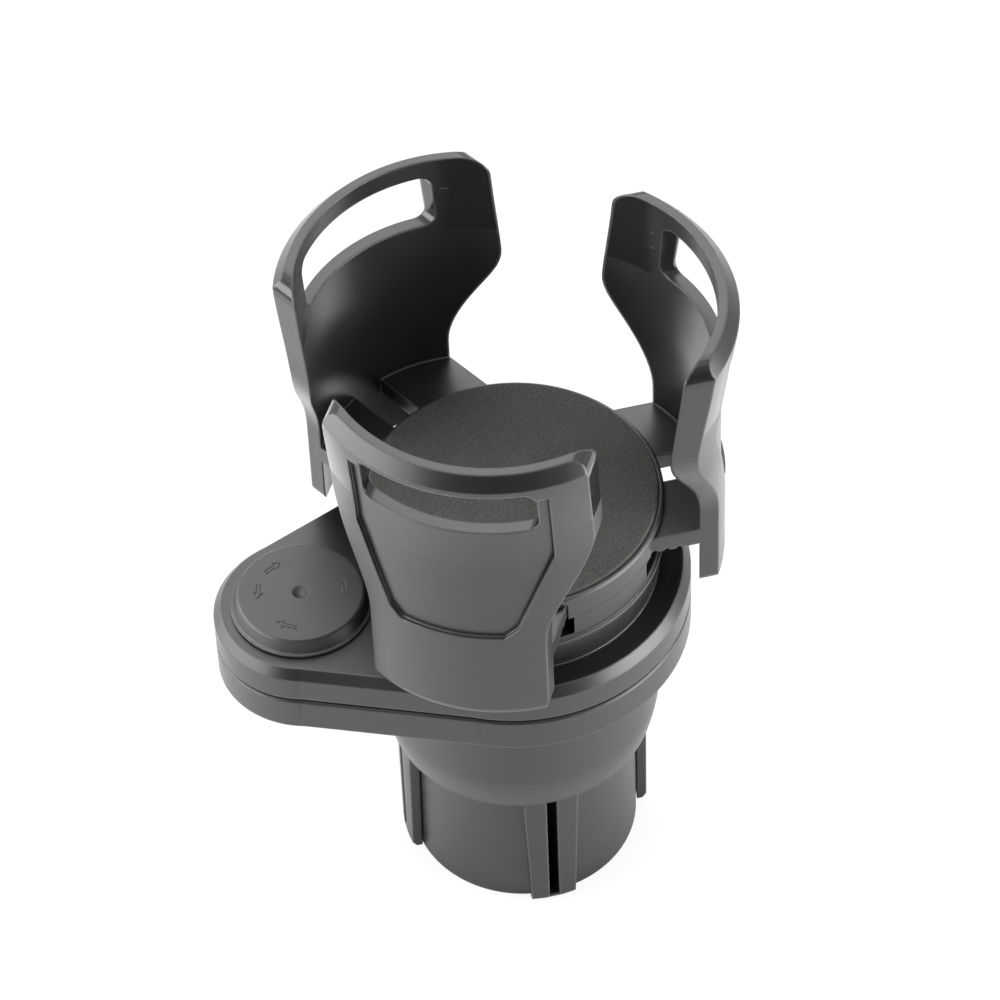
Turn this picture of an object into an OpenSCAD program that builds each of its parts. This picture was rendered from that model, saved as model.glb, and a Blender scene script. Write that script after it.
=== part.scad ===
// Swing-out car cup holder: an expanding foot, a lower well with a collar,
// a tray that swings on a locking knob, and a seat with three sliding arms.
// Millimetres, +Z up, origin at the centre of the foot's underside.

/* [Foot] */
// Outer radius of the foot cylinder
foot_r = 28.6; // [28:0.1:29]
// Height of the foot cylinder
foot_h = 41.8; // [38:0.2:44]
// Wall of the foot cylinder
foot_wall = 2; // [1.6:0.1:2.4]
// Floor of the foot cylinder
foot_floor = 2.4; // [2:0.1:3]
// Radius of the round bottom edge of the foot
foot_edge_r = 1.2; // [0.6:0.1:1.6]
// Radius of the centre boss that the bowl turns on
foot_boss_r = 5; // [4.6:0.1:5.2]

/* [Expanding fins] */
// Radius over the fins when they are drawn in
fin_r = 31.4; // [30.5:0.1:33]
// How far the fins slide out
fin_travel = 8; // [5:0.5:8.5]
// Turn of the bowl that drives the fins all the way out, in degrees
cam_turn = 100; // [80:5:110]
// Width of a fin at its top
fin_w_top = 14; // [12:0.5:16]
// Width of a fin at its bottom
fin_w_bottom = 11.2; // [10.2:0.2:12]
// Width of the slot down the middle of a fin
fin_slot_w = 2.6; // [1.6:0.2:3]
// Width of the stem that carries a fin through the foot's wall
fin_stem_w = 9; // [8:0.5:9.5]
// Height of the lead-in chamfer at the foot of a fin
fin_lead_h = 1.6; // [1:0.2:4]
// Depth of the lead-in chamfer at the foot of a fin
fin_lead_d = 1; // [0.6:0.2:2]
// Radius of the pin on a fin that runs in the cam
fin_pin_r = 1.6; // [1.2:0.1:1.8]
// Distance of that pin from the axis when the fin is drawn in
fin_pin_x = 13.5; // [13.2:0.1:14]
// Thickness of the cam disc
cam_t = 2.8; // [2:0.1:3]

/* [Bowl and collar] */
// Outer radius of the bowl at its lower edge, half of 66 mm
bowl_r = 33; // [32.6:0.1:33.4]
// How much wider the bowl grows above its lower edge
bowl_flare = 1.9; // [1.2:0.1:2]
// Height over which the bowl rounds out
bowl_round_h = 12; // [8:1:18]
// Wall of the bowl
bowl_wall = 2.2; // [1.8:0.1:2.6]
// Floor of the bowl
bowl_floor = 2.5; // [2:0.1:3.5]
// Radius of the round bottom edge of the bowl
bowl_edge_r = 1.6; // [1:0.1:2.2]
// Height of the collar's underside above the ground
collar_z = 77.4; // [74:0.2:82]
// Height of the collar
collar_h = 9.8; // [9:0.2:12]
// Thickness of the rubber mat in the bowl
mat_t = 4; // [3.8:0.1:5]

/* [Teardrop outline] */
// Radius of the big end of the tray and the collar
big_r = 42.7; // [41.5:0.1:45]
// Radius of the small end of the tray and the collar
small_r = 22.5; // [21:0.25:24]
// Distance from the bowl's axis to the centre of the small end
end_x = 52; // [51:0.5:53]
// Distance from the bowl's axis to the swing axis
pivot_x = 53; // [52.5:0.5:55]
// Wall of the collar and the tray
shell_wall = 2; // [1.6:0.1:2.4]

/* [Tray] */
// Width of the dark joint between the collar and the tray
joint_gap = 0.8; // [0.7:0.1:1.4]
// Height of the tray
tray_h = 9.8; // [9:0.2:12]
// Height of the bevel round the tray's top edge
bevel_h = 2.6; // [1:0.2:3.2]
// Width of the bevel round the tray's top edge
bevel_w = 1.9; // [1:0.1:2.6]
// Radius of the round pedestal under the seat
pedestal_r = 34.8; // [34:0.1:35.2]
// Height of the pedestal above the tray
pedestal_h = 8.3; // [7:0.1:9]

/* [Seat] */
// Outer radius of the lower band of the seat
band_r = 35.3; // [35:0.1:35.8]
// Height of the seat's lower case
case_h = 8.2; // [7.6:0.1:9]
// Outer radius of the seat ring at its top
ring_r = 36.3; // [36:0.1:36.6]
// How far the foam stands above the upper band's lip
foam_proud = 1.1; // [0.4:0.1:1.2]
// Thickness of the foam pad
foam_t = 1.8; // [1.7:0.1:3]
// Thickness of the deck under the foam pad
deck_t = 1.2; // [1:0.1:2]
// Wall of the seat case and the seat ring
seat_wall = 2; // [1.6:0.1:2.2]
// Half angle of the notch in the lower band under each arm
notch_a = 40; // [39:1:44]

/* [Arms] */
// Outer radius of the closed arms' grip panels, half of 85 mm
arm_r = 42.5; // [42:0.25:44]
// Thickness of an arm at its top rim
arm_t = 5.2; // [4.2:0.1:5.6]
// How far the top rim leans out past the grip panel
rim_out = 2; // [1:0.1:3]
// Height of the arms' tops above the ground
arm_top_z = 186; // [176:1:196]
// How far the skirt lies inside the grip panel
skirt_in = 1.3; // [0.8:0.1:1.5]
// Thickness of the skirt
skirt_t = 4; // [3:0.1:4]
// Gap between the skirt's lower edge and the tray
skirt_gap = 3.3; // [2:0.1:4]
// Half width of an arm at its grip
grip_half_w = 31.2; // [30:0.2:32]
// Half width of an arm at its neck and skirt
neck_half_w = 21.4; // [21:0.1:22]
// Width of the gap between an arm's two prongs
prong_gap = 8.4; // [7.8:0.1:9]
// Thickness of an arm's prongs
prong_t = 4.8; // [4:0.1:5]
// How far an arm slides out from closed
arm_travel = 15.5; // [12:0.5:15.5]
// How far the front arm is pulled out at rest
front_out = 10; // [0:0.5:12]
// How far the side arm is pulled out at rest
side_out = 10; // [0:0.5:12]
// How far the rear arm is pulled out at rest
rear_out = 14; // [0:0.5:15]

/* [Arm window and shield] */
// Half width of the window
window_half_w = 20.8; // [18:0.2:21.5]
// Height of the window
window_h = 15; // [12:0.5:17]
// Distance from the arm's top to the window
window_drop = 5; // [4:0.5:7]
// Radius of the window's corners
window_corner_r = 3; // [1:0.5:5]
// Depth of the shield recess
shield_d = 1.1; // [0.6:0.1:1.6]
// Half width of the shield recess
shield_half_w = 23.6; // [22.4:0.2:25]
// Half width of the shield recess at its foot
shield_foot_w = 12.5; // [9:0.5:15]
// Height of the shield recess
shield_h = 50; // [44:1:54]

/* [Pivot and knob] */
// Radius of the knob's face
knob_r = 14.9; // [14:0.1:16]
// How far the knob's side slopes out
knob_slope = 1.7; // [1:0.1:2]
// Radius of the thin flange under the knob
knob_flange_r = 17.2; // [17:0.1:17.3]
// Height of the knob above the tray
knob_h = 4.3; // [3.4:0.1:5]
// Radius of the pivot bolt
pivot_bolt_r = 3; // [2.5:0.1:3.4]
// Radius of the axle bolt
axle_r = 2.5; // [2:0.1:2.6]
// Radius of the self-tapping screws
screw_r = 1.25; // [1:0.05:1.4]
// Radius of their heads
screw_head_r = 2.4; // [2:0.1:2.4]

/* [Clearances] */
// Gap between pieces that slide past each other
slide_gap = 0.3; // [0.2:0.05:0.4]
// Radial clearance of a shaft in its bearing
run_gap = 0.06; // [0.02:0.01:0.1]

/* [Hidden] */
$fn = 96;
eps = 0.01;

// Heights of the foot and the bowl
bowl_z = foot_h + slide_gap;
well_z = bowl_z + bowl_floor;
hub_r = 10.8;
hub_h = 2.8;
cam_top_z = bowl_z - hub_h;
cam_z = cam_top_z - cam_t;
cam_r = foot_r - foot_wall - 0.5;
boss_top_z = cam_z - slide_gap;
stem_top_z = cam_z - 0.5;
fin_z = 0.8;
fin_top_z = foot_h - slide_gap;
blade_in_r = foot_r + slide_gap;
stem_in_x = fin_pin_x - fin_pin_r - 0.9;
window_top_z = cam_top_z;
guide_h = 5.6;
guide_t = 1.5;

// The axle
axle_head_r = 5;
axle_head_h = 2.1;
axle_washer_t = 0.8;
axle_washer_r = 6.4;
nut_r = 4.6;
nut_h = 4;
nut_z = 0.6;
nut_boss_r = 7.6;
cam_screw_x = 8.2;
cam_screw_head_h = 1.5;

// Heights of the collar, the tray and the seat
collar_top_z = collar_z + collar_h;
deck_plate_t = 2;
tray_z = collar_top_z + joint_gap;
tray_top_z = tray_z + tray_h;
cover_t = 2;
seat_z = tray_top_z + pedestal_h;
case_top_z = seat_z + case_h;
ring_z = case_top_z + 0.2;
prong_z = ring_z + 0.8;
deck_z = prong_z + prong_t + slide_gap;
foam_z = deck_z + deck_t;
foam_top_z = foam_z + foam_t;
ring_top_z = foam_top_z - foam_proud;
seat_lip_r = band_r + 0.6;
seat_lip_h = 1;
case_floor = 2;
post_x = 25;
post_r = 2.8;
post_top_z = prong_z + 1.5;
rail_t = 1.6;
rail_y = [8, 18.5];

// The arms
side_a = [-120, 0, 120];
nest_gap = 1;
prong_half_gap = prong_gap / 2;
hook_half_gap = 1.2;
hook_x = prong_half_gap / sqrt(3) + nest_gap;
hook_l = 3;
skirt_z = tray_top_z + skirt_gap;
skirt_r = arm_r - skirt_in;
skirt_in_r = skirt_r - skirt_t;
waist_lo_z = arm_top_z - 60;
waist_hi_z = arm_top_z - 28;
lean_lo_z = arm_top_z - 36.9;
lean_hi_z = arm_top_z + 4;
top_corner_r = 5;
bevel_top_h = 3.4;
bevel_top_w = 2.8;
window_z = arm_top_z - window_drop - window_h;
shield_top_z = arm_top_z - window_drop - 2.5;
shield_z = shield_top_z - shield_h;
shield_knee_z = shield_top_z - 24;

// The pivot
pivot_head_r = 5.8;
pivot_head_h = 4;
pivot_boss_r = 9;
pivot_washer_r = 13;
pivot_washer_t = joint_gap - 0.2;
knob_seat_r = 9.2;
knob_seat_z = tray_z + cover_t + 3.8;
spring_t = 0.5;
spring_rise = 0.8;
knob_z = tray_top_z + slide_gap;
knob_hub_r = 7.6;
knob_hub_z = knob_seat_z + spring_rise + spring_t + 0.2;
insert_r = 4.6;
insert_h = 4.4;
pivot_top_z = knob_hub_z + insert_h - 0.4;
dimple_r = 2;

// Screw places: round the tray, and round the collar's deck
tray_screw_at = [[28, 24], [28, -24], [-26, 24], [-26, -24]];
deck_screw_at = [[26, 27.5], [26, -27.5], [-36, 21], [-36, -21]];
screw_head_h = 1.6;
screw_boss_r = 3;
deck_boss_r = 3.3;

// Smooth step from 0 to 1 between a and b
function ease(x, a, b) = let (t = min(1, max(0, (x - a) / (b - a)))) t * t * (3 - 2 * t);

// Half width of an arm at height z
function arm_half_w(z) =
    neck_half_w + (grip_half_w - neck_half_w) * ease(z, waist_lo_z, waist_hi_z);

// Teardrop outline, drawn smaller by inset; its straight sides meet both circles a hair inside them
module teardrop(inset = 0) {
    a = asin((big_r - small_r) / end_x);
    r1 = big_r - inset;
    r2 = small_r - inset;
    side_r1 = r1 - 0.02;
    side_r2 = r2 - 0.02;
    circle(r1);
    translate([-end_x, 0]) circle(r2);
    polygon([[-sin(a) * side_r1, cos(a) * side_r1], [-end_x - sin(a) * side_r2, cos(a) * side_r2],
        [-end_x - sin(a) * side_r2, -cos(a) * side_r2], [-sin(a) * side_r1, -cos(a) * side_r1]]);
}

// Right triangle beyond a bevel that runs from a on the side face to b on the top or bottom face
module beyond_bevel(a, b) {
    polygon([2 * a - b, 2 * b - a, [2 * a[0] - b[0], 2 * b[1] - a[1]]]);
}

// Solid teardrop with a bevelled rim, whose four points are [distance out from the outline, height]
// from bottom to top; its straight sides run into both round ends a hair inside them
module teardrop_solid(rim) {
    a = asin((big_r - small_r) / end_x);
    side_l = end_x * cos(a);
    side_x = big_r - 0.12;
    step = 0.06;
    corners = [[side_x, -1], [side_x, side_l + 1], [side_x - 18, side_l + 1], [side_x - 18, -1]];
    for (end = [[big_r, 0], [small_r, -end_x]]) translate([end[1], 0, 0]) rotate_extrude()
        polygon(concat([[0, rim[0][1]]], [for (p = rim) [end[0] + p[0], p[1]]], [[0, rim[3][1]]]));
    for (s = [0, 1]) mirror([0, s, 0]) difference() {
        translate([0, 0, rim[0][1]]) linear_extrude(rim[3][1] - rim[0][1])
            polygon([for (c = corners) [-c[0] * sin(a) - c[1] * cos(a), c[0] * cos(a) - c[1] * sin(a)]]);
        rotate([0, 0, 90 + a]) translate([0, side_l + 2, 0]) rotate([90, 0, 0]) linear_extrude(side_l + 4) {
            beyond_bevel([side_x, rim[1][1] + step], [side_x + rim[0][0], rim[0][1]]);
            beyond_bevel([side_x, rim[2][1] - step], [side_x + rim[3][0], rim[3][1]]);
        }
    }
}

// A tube from z0 up to z1
module tube(r_out, r_in, z0, z1) {
    translate([0, 0, z0]) difference() {
        cylinder(r = r_out, h = z1 - z0);
        translate([0, 0, -1]) cylinder(r = r_in, h = z1 - z0 + 2);
    }
}

// A rod from z0 up to z1
module rod(r, z0, z1) {
    translate([0, 0, z0]) cylinder(r = r, h = z1 - z0);
}

// A box centred on the X axis, from x0 to x1
module bar(x0, x1, w, z0, z1) {
    translate([x0, -w / 2, z0]) cube([x1 - x0, w, z1 - z0]);
}

// A self-tapping screw, its head below z and its shank of length l above
module tapping_screw(l, head_h = screw_head_h) {
    rod(screw_r, -eps, l);
    rod(screw_head_r, -head_h, 0);
}

// Foot

module foot_shell() {
    color("#4a4b4c") difference() {
        union() {
            // Cylinder with a floor and a round bottom edge
            rotate_extrude() {
                difference() {
                    union() {
                        translate([0, foot_edge_r]) square([foot_r, foot_h - foot_edge_r]);
                        square([foot_r - foot_edge_r, foot_edge_r]);
                        translate([foot_r - foot_edge_r, foot_edge_r]) circle(foot_edge_r);
                    }
                    translate([-1, foot_floor]) square([foot_r - foot_wall + 1, foot_h]);
                    translate([-2 * foot_r, -1]) square([2 * foot_r, foot_h + 2]);
                }
            }
            rod(foot_boss_r, foot_floor - eps, boss_top_z);
            rod(nut_boss_r, foot_floor - eps, nut_z + nut_h + 2);
            // Guide ribs on both sides of each fin stem
            for (a = [0:90:270], s = [-1, 1]) rotate([0, 0, a])
                translate([nut_boss_r - 1, s * (fin_stem_w / 2 + slide_gap + guide_t / 2) - guide_t / 2,
                    foot_floor - eps])
                    cube([foot_r - foot_wall - nut_boss_r + 1.2, guide_t, guide_h]);
        }
        // Windows for the fin stems
        for (a = [0:90:270]) rotate([0, 0, a])
            bar(foot_r - foot_wall - 2, foot_r + 1, fin_stem_w + 2 * slide_gap, foot_floor, window_top_z);
        rod(axle_r + run_gap, -1, boss_top_z + 1);
        translate([0, 0, -1]) cylinder(r = nut_r + 0.15, h = nut_z + nut_h + 1.2, $fn = 6);
    }
}

// One fin: a blade outside the foot's wall, two cheeks through it and a cam pin
module fin() {
    hw_top = fin_w_top / 2;
    hw_bottom = fin_w_bottom / 2;
    color("#474849") difference() {
        union() {
            intersection() {
                tube(fin_r, blade_in_r, fin_z, fin_top_z);
                rotate([90, 0, 90]) linear_extrude(fin_r + 1)
                    polygon([[-hw_bottom, fin_z], [hw_bottom, fin_z], [hw_top, fin_top_z], [-hw_top, fin_top_z]]);
                // Lead-in chamfer at the foot
                rotate_extrude() polygon([[0, fin_z], [fin_r - fin_lead_d, fin_z],
                    [fin_r, fin_z + fin_lead_h], [fin_r, fin_top_z], [0, fin_top_z]]);
            }
            bar(stem_in_x, blade_in_r + 1, fin_stem_w, foot_floor + slide_gap, stem_top_z);
            translate([fin_pin_x, 0, 0]) rod(fin_pin_r, stem_top_z - eps, cam_top_z - 0.4);
        }
        // Slot between the cheeks
        bar(fin_pin_x + fin_pin_r + 2, fin_r + 1, fin_slot_w, -1, foot_h + 1);
    }
}

module fin_front() { rotate([0, 0, -90]) fin(); }
module fin_right() { fin(); }
module fin_rear() { rotate([0, 0, 90]) fin(); }
module fin_left() { rotate([0, 0, 180]) fin(); }

module axle_bolt() {
    color("silver") {
        rod(axle_r, nut_z, well_z + axle_washer_t + 0.1);
        rod(axle_head_r, well_z + axle_washer_t + 0.1, well_z + axle_washer_t + 0.1 + axle_head_h);
    }
}

module axle_washer() {
    color("gainsboro") tube(axle_washer_r, axle_r + run_gap, well_z + 0.1, well_z + 0.1 + axle_washer_t);
}

module axle_nut() {
    color("silver") difference() {
        translate([0, 0, nut_z]) cylinder(r = nut_r, h = nut_h, $fn = 6);
        rod(axle_r + run_gap, nut_z - 1, nut_z + nut_h + 1);
    }
}

// Bowl and collar

// Outer radius of the bowl at height z
function bowl_r_at(z) = bowl_r + bowl_flare * sin(90 * min(1, max(0, (z - bowl_z - 1) / bowl_round_h)));

// Half section of the bowl: floor, round edge and a wall up to the collar's deck
module bowl_profile() {
    steps = 14;
    top_z = collar_top_z - deck_plate_t;
    z0 = bowl_z + bowl_edge_r;
    foot_out = bowl_r_at(z0);
    zs = [for (i = [0:steps]) z0 + (collar_z - z0) * pow(i / steps, 1.5)];
    edge = [for (t = [-90:15:-15]) [foot_out - bowl_edge_r + bowl_edge_r * cos(t),
        z0 + bowl_edge_r * sin(t)]];
    outer = [for (z = zs) [bowl_r_at(z), z]];
    inner = [for (i = [steps:-1:1]) [bowl_r_at(zs[i]) - bowl_wall, zs[i]]];
    polygon(concat([[0, bowl_z]], edge, outer, [[bowl_r + bowl_flare, top_z],
        [bowl_r + bowl_flare - bowl_wall, top_z]], inner,
        [[bowl_r_at(well_z) - bowl_wall, well_z], [0, well_z]]));
}

module lower_body() {
    color("#515253") difference() {
        union() {
            rotate_extrude() bowl_profile();
            // Collar: an open teardrop tray round the bowl
            difference() {
                teardrop_solid([[-0.8, collar_z], [0, collar_z + 0.8], [0, collar_top_z - 0.5],
                    [-0.5, collar_top_z]]);
                translate([0, 0, collar_z + shell_wall]) linear_extrude(collar_h) teardrop(shell_wall);
                rod(bowl_r + bowl_flare - bowl_wall / 2, collar_z - 1, collar_top_z);
            }
            // Bosses for the pivot bolt and the deck's screws
            translate([-pivot_x, 0, 0]) rod(pivot_boss_r, collar_z, collar_top_z - deck_plate_t);
            for (p = deck_screw_at) translate([p[0], p[1], 0])
                rod(deck_boss_r, collar_z + shell_wall - eps, collar_top_z - deck_plate_t);
            // Hub that carries the cam
            rod(hub_r, cam_top_z, bowl_z + eps);
        }
        rod(axle_r + run_gap, cam_top_z - 1, well_z + 1);
        for (a = [90:120:330]) rotate([0, 0, a]) translate([cam_screw_x, 0, 0])
            rod(screw_r + 0.05, cam_top_z - 1, well_z - 0.8);
        translate([-pivot_x, 0, 0]) {
            rod(pivot_bolt_r + 0.05, collar_z - 1, collar_top_z);
            translate([0, 0, collar_z - 1]) cylinder(r = pivot_head_r + 0.15, h = pivot_head_h + 1.2, $fn = 6);
        }
        for (p = deck_screw_at) translate([p[0], p[1], 0])
            rod(screw_r + 0.05, collar_z + shell_wall + 0.6, collar_top_z);
    }
}

// Width of the cam's spiral slots
slot_w = 2 * (fin_pin_r + 0.3);
// Distance of a spiral from the axis once the bowl has turned by t degrees
function spiral_x(t) = fin_pin_x + fin_travel * t / cam_turn;
function polar(r, a) = [r * cos(a), r * sin(a)];

module spiral_slot() {
    steps = 20;
    turns = [for (i = [0:steps]) cam_turn * i / steps];
    polygon(concat([for (t = turns) polar(spiral_x(t) + slot_w / 2, -t)],
        [for (i = [steps:-1:0]) polar(spiral_x(turns[i]) - slot_w / 2, -turns[i])]));
    for (t = [0, cam_turn]) translate(polar(spiral_x(t), -t)) circle(slot_w / 2 + 0.05);
}

module cam_disc() {
    color("#d8d4c8") difference() {
        rod(cam_r, cam_z, cam_top_z);
        rod(axle_r + 0.4, cam_z - 1, cam_top_z + 1);
        for (a = [0:90:270]) rotate([0, 0, a]) translate([0, 0, cam_z - 1])
            linear_extrude(cam_t + 2) spiral_slot();
        for (a = [90:120:330]) rotate([0, 0, a]) translate([cam_screw_x, 0, 0])
            rod(screw_r + 0.1, cam_z - 1, cam_top_z + 1);
    }
}

module cam_screws() {
    color("silver") for (a = [90:120:330]) rotate([0, 0, a]) translate([cam_screw_x, 0, cam_z])
        tapping_screw(cam_t + hub_h + 0.6, cam_screw_head_h);
}

module well_mat() {
    mat_r = bowl_r_at(well_z) - bowl_wall - 0.4;
    color("#262626") difference() {
        rod(mat_r, well_z, well_z + mat_t);
        rod(axle_washer_r + 0.6, well_z - 1, well_z + axle_washer_t + axle_head_h + 0.4);
        // Rings that keep a cup from sliding
        for (r = [mat_r * 0.45:5:mat_r - 3]) tube(r + 0.7, r - 0.7, well_z + mat_t - 0.5, well_z + mat_t + 1);
    }
}

module collar_deck() {
    color("#4a4b4c") difference() {
        translate([0, 0, collar_top_z - deck_plate_t]) linear_extrude(deck_plate_t)
            teardrop(shell_wall + 0.1);
        rod(bowl_r + bowl_flare - bowl_wall, 0, collar_top_z + 1);
        translate([-pivot_x, 0, 0]) rod(pivot_bolt_r + 0.05, collar_z, collar_top_z + 1);
        for (p = deck_screw_at) translate([p[0], p[1], 0]) {
            rod(screw_r + 0.1, collar_z, collar_top_z + 1);
            rod(screw_head_r + 0.1, collar_top_z - screw_head_h, collar_top_z + 1);
        }
    }
}

module deck_screws() {
    color("silver") for (p = deck_screw_at)
        translate([p[0], p[1], collar_top_z - screw_head_h]) mirror([0, 0, 1])
            tapping_screw(collar_h - shell_wall - screw_head_h - 1, screw_head_h - 0.1);
}

module pivot_bolt() {
    color("silver") translate([-pivot_x, 0, 0]) {
        translate([0, 0, collar_z + 0.1]) cylinder(r = pivot_head_r, h = pivot_head_h, $fn = 6);
        rod(pivot_bolt_r, collar_z + pivot_head_h, pivot_top_z);
    }
}

module pivot_washer() {
    color("ivory") translate([-pivot_x, 0, 0])
        tube(pivot_washer_r, pivot_bolt_r + run_gap, collar_top_z, collar_top_z + pivot_washer_t);
}

// Tray

module tray_plate() {
    color("#555657") difference() {
        union() {
            // Hollow teardrop with a bevelled top edge
            difference() {
                teardrop_solid([[-0.5, tray_z], [0, tray_z + 0.5], [0, tray_top_z - bevel_h],
                    [-bevel_w, tray_top_z]]);
                translate([0, 0, tray_z - 1]) linear_extrude(tray_h - shell_wall + 1) teardrop(shell_wall);
                rod(pedestal_r - shell_wall + 0.3, tray_z, tray_top_z + 1);
            }
            // Pedestal of the seat
            tube(pedestal_r, pedestal_r - shell_wall, tray_top_z - shell_wall, seat_z);
            rod(pedestal_r, seat_z - shell_wall, seat_z);
            // Bosses for the pivot and the cover's screws
            translate([-pivot_x, 0, 0]) rod(knob_seat_r + 2, tray_z + cover_t, tray_top_z - eps);
            for (p = tray_screw_at) translate([p[0], p[1], 0])
                rod(screw_boss_r, tray_z + cover_t,
                    norm(p) > pedestal_r - 2 ? tray_top_z - eps : seat_z - eps);
        }
        translate([-pivot_x, 0, 0]) {
            rod(pivot_bolt_r + run_gap, tray_z, tray_top_z);
            rod(knob_seat_r, knob_seat_z, tray_top_z + 1);
        }
        for (p = tray_screw_at) translate([p[0], p[1], 0])
            rod(screw_r + 0.05, tray_z, tray_z + tray_h - shell_wall - 0.4);
        for (a = side_a) rotate([0, 0, a]) translate([post_x, 0, 0])
            rod(screw_r + 0.2, tray_z, seat_z + 1);
    }
}

module tray_cover() {
    color("#404142") difference() {
        translate([0, 0, tray_z]) linear_extrude(cover_t) teardrop(shell_wall + 0.1);
        translate([-pivot_x, 0, 0]) rod(pivot_bolt_r + slide_gap, tray_z - 1, tray_z + cover_t + 1);
        for (p = tray_screw_at) translate([p[0], p[1], 0]) {
            rod(screw_r + 0.1, tray_z - 1, tray_z + cover_t + 1);
            rod(screw_head_r + 0.1, tray_z - 1, tray_z + screw_head_h);
        }
    }
}

module tray_screws() {
    color("silver") for (p = tray_screw_at)
        translate([p[0], p[1], tray_z + screw_head_h]) tapping_screw(tray_h - shell_wall - screw_head_h - 1,
            screw_head_h - 0.1);
}

// Seat

module seat_case() {
    color("#5a5b5c") {
        difference() {
            union() {
                rod(seat_lip_r, seat_z, seat_z + seat_lip_h);
                rod(band_r, seat_z, case_top_z);
            }
            rod(band_r - seat_wall, seat_z + case_floor, case_top_z + 1);
            // The band is cut away under each arm
            for (a = side_a) rotate([0, 0, a]) bar(band_r * cos(notch_a) - 4, band_r + 2,
                2 * band_r * sin(notch_a), seat_z + case_floor, case_top_z + 1);
            for (a = side_a) rotate([0, 0, a]) translate([post_x, 0, 0]) rod(screw_r + 0.2, 0, case_top_z);
        }
        // Rails under the prongs and posts for the screws
        for (a = side_a) rotate([0, 0, a]) {
            for (y = rail_y, s = [-1, 1]) intersection() {
                translate([12, s * y - rail_t / 2, seat_z + case_floor - eps])
                    cube([band_r, rail_t, prong_z - slide_gap - seat_z - case_floor]);
                rod(band_r - seat_wall - 0.5, seat_z, case_top_z + 2);
            }
            translate([post_x, 0, 0]) tube(post_r, screw_r + 0.2, seat_z + case_floor - eps, post_top_z);
        }
    }
}

module seat_ring() {
    ring_foot_r = ring_r - 0.6;
    lip_in_r = ring_r - 1.2;
    color("#565758") difference() {
        union() {
            difference() {
                rotate_extrude() polygon([[ring_foot_r - seat_wall, ring_z], [ring_foot_r, ring_z],
                    [ring_r, ring_top_z - 0.6], [ring_r - 0.5, ring_top_z], [lip_in_r, ring_top_z],
                    [lip_in_r, foam_z], [0, foam_z], [0, deck_z], [ring_foot_r - seat_wall, deck_z]]);
                // Mouths for the prongs
                for (a = side_a) rotate([0, 0, a])
                    bar(20, ring_r + 2, 2 * (neck_half_w + slide_gap), ring_z - 1, deck_z);
            }
            for (a = side_a) rotate([0, 0, a]) translate([post_x, 0, 0]) rod(post_r, post_top_z, deck_z + eps);
        }
        for (a = side_a) rotate([0, 0, a]) translate([post_x, 0, 0]) rod(screw_r + 0.05, 0, deck_z);
    }
}

module seat_screws() {
    color("silver") for (a = side_a) rotate([0, 0, a]) translate([post_x, 0, seat_z - shell_wall])
        tapping_screw(deck_z - seat_z + shell_wall - 0.6);
}

module foam_pad() {
    color("#3b3735") rod(ring_r - 1.4, foam_z, foam_top_z);
}

// Arms

// Front view of an arm, its half width on x and its height on y
module arm_outline() {
    steps = 16;
    side = [for (i = [0:steps]) let (z = waist_lo_z + (waist_hi_z - waist_lo_z) * i / steps) [arm_half_w(z), z]];
    corner = [for (t = [0:15:90]) [grip_half_w - top_corner_r + top_corner_r * cos(t),
        arm_top_z - top_corner_r + top_corner_r * sin(t)]];
    foot_corner_r = 2;
    foot = [for (t = [-90:30:0]) [neck_half_w - foot_corner_r + foot_corner_r * cos(t),
        skirt_z + foot_corner_r + foot_corner_r * sin(t)]];
    right = concat(foot, side, corner);
    n = len(right);
    polygon(concat(right, [for (i = [n - 1:-1:0]) [-right[i][0], right[i][1]]]));
}

// Radius of an arm's outer and inner face at height z
function arm_face_r(z) = skirt_r + (arm_r + rim_out - skirt_r) * ease(z, lean_lo_z, lean_hi_z);
function arm_back_r(z) = arm_face_r(z) - skirt_t - (arm_t - skirt_t) * ease(z, lean_lo_z, lean_hi_z);

// Upright section of an arm, its distance from the seat's axis on x
module arm_section() {
    steps = 14;
    top = arm_top_z - bevel_top_h;
    outer = [for (i = [0:steps]) let (z = lean_lo_z + (top - lean_lo_z) * i / steps) [arm_face_r(z), z]];
    inner = [for (i = [steps:-1:0]) let (z = lean_lo_z + (arm_top_z - lean_lo_z) * i / steps)
        [arm_back_r(z), z]];
    polygon(concat([[skirt_in_r, skirt_z], [skirt_r - 1, skirt_z], [skirt_r - 0.3, skirt_z + 0.4],
        [skirt_r, skirt_z + 1.6]], outer, [[arm_face_r(top) - bevel_top_w, arm_top_z]], inner));
}

// Section of the space in front of the shield recess
module shield_section() {
    steps = 12;
    floor = [for (i = [0:steps]) let (z = shield_z + shield_h * i / steps) [arm_face_r(z) - shield_d, z]];
    polygon(concat(floor, [[arm_r + 6, shield_top_z], [arm_r + 6, shield_z]]));
}

module window_shape() {
    r = window_corner_r;
    for (s = [-1, 1], z = [window_z + r, window_z + window_h - r])
        translate([s * (window_half_w - r), z]) circle(r, $fn = 32);
    translate([-window_half_w + r, window_z]) square([2 * (window_half_w - r), window_h]);
    translate([-window_half_w, window_z + r]) square([2 * window_half_w, window_h - 2 * r]);
}

module shield_shape() {
    polygon([[-shield_foot_w, shield_z], [shield_foot_w, shield_z], [shield_foot_w + 3, shield_z + 3],
        [shield_half_w, shield_knee_z], [shield_half_w, shield_top_z],
        [-shield_half_w, shield_top_z], [-shield_half_w, shield_knee_z], [-shield_foot_w - 3, shield_z + 3]]);
}

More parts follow.
